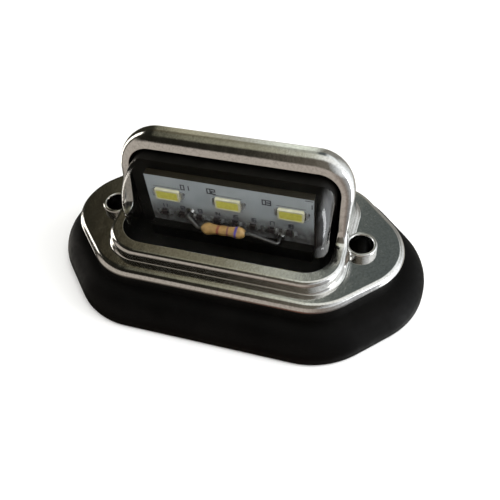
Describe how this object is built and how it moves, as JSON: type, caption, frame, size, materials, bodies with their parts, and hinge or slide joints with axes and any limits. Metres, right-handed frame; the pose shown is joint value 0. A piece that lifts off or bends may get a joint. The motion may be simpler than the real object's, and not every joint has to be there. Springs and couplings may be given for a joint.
{
  "type": "number plate lamp",
  "caption": "LED number plate lamp with a chromed die-cast hood and flange, a clear bulging lens over a white circuit board, screw holes in the flange and a black rubber gasket.",
  "frame": {"origin": "middle of the gasket's mounting face, on the panel", "axes": "+Z away from the panel, X along the lamp, the window faces -Y and +Z"},
  "size_m": [0.0752, 0.0422, 0.0285],
  "materials": {
    "gasket_rubber": "satin black moulded rubber",
    "chrome": "bright plated die casting, slightly uneven",
    "lens_clear": "clear moulded polycarbonate",
    "black_plastic": "black moulded plastic",
    "grommet_rubber": "matt black rubber",
    "board_white": "white solder mask over glass laminate",
    "led_white": "cream white moulded package",
    "led_phosphor": "yellow phosphor in clear silicone",
    "tinned": "tinned metal",
    "chip_black": "dark glaze",
    "resistor_tan": "tan lacquer with colour bands",
    "solder": "shiny solder"
  },
  "bodies": {
    "root": {"gasket": "gasket_rubber", "housing": "chrome", "lens": "lens_clear", "carrier": "black_plastic", "wire_grommet": "grommet_rubber", "board": "board_white", "led_body": "led_white", "led_phosphor": "led_phosphor", "led_terminal": "tinned", "chip_resistor_body": "chip_black", "chip_resistor_end": "tinned", "resistor_body": "resistor_tan", "resistor_lead": "tinned", "solder_joint": "solder"}
  },
  "joints": []
}
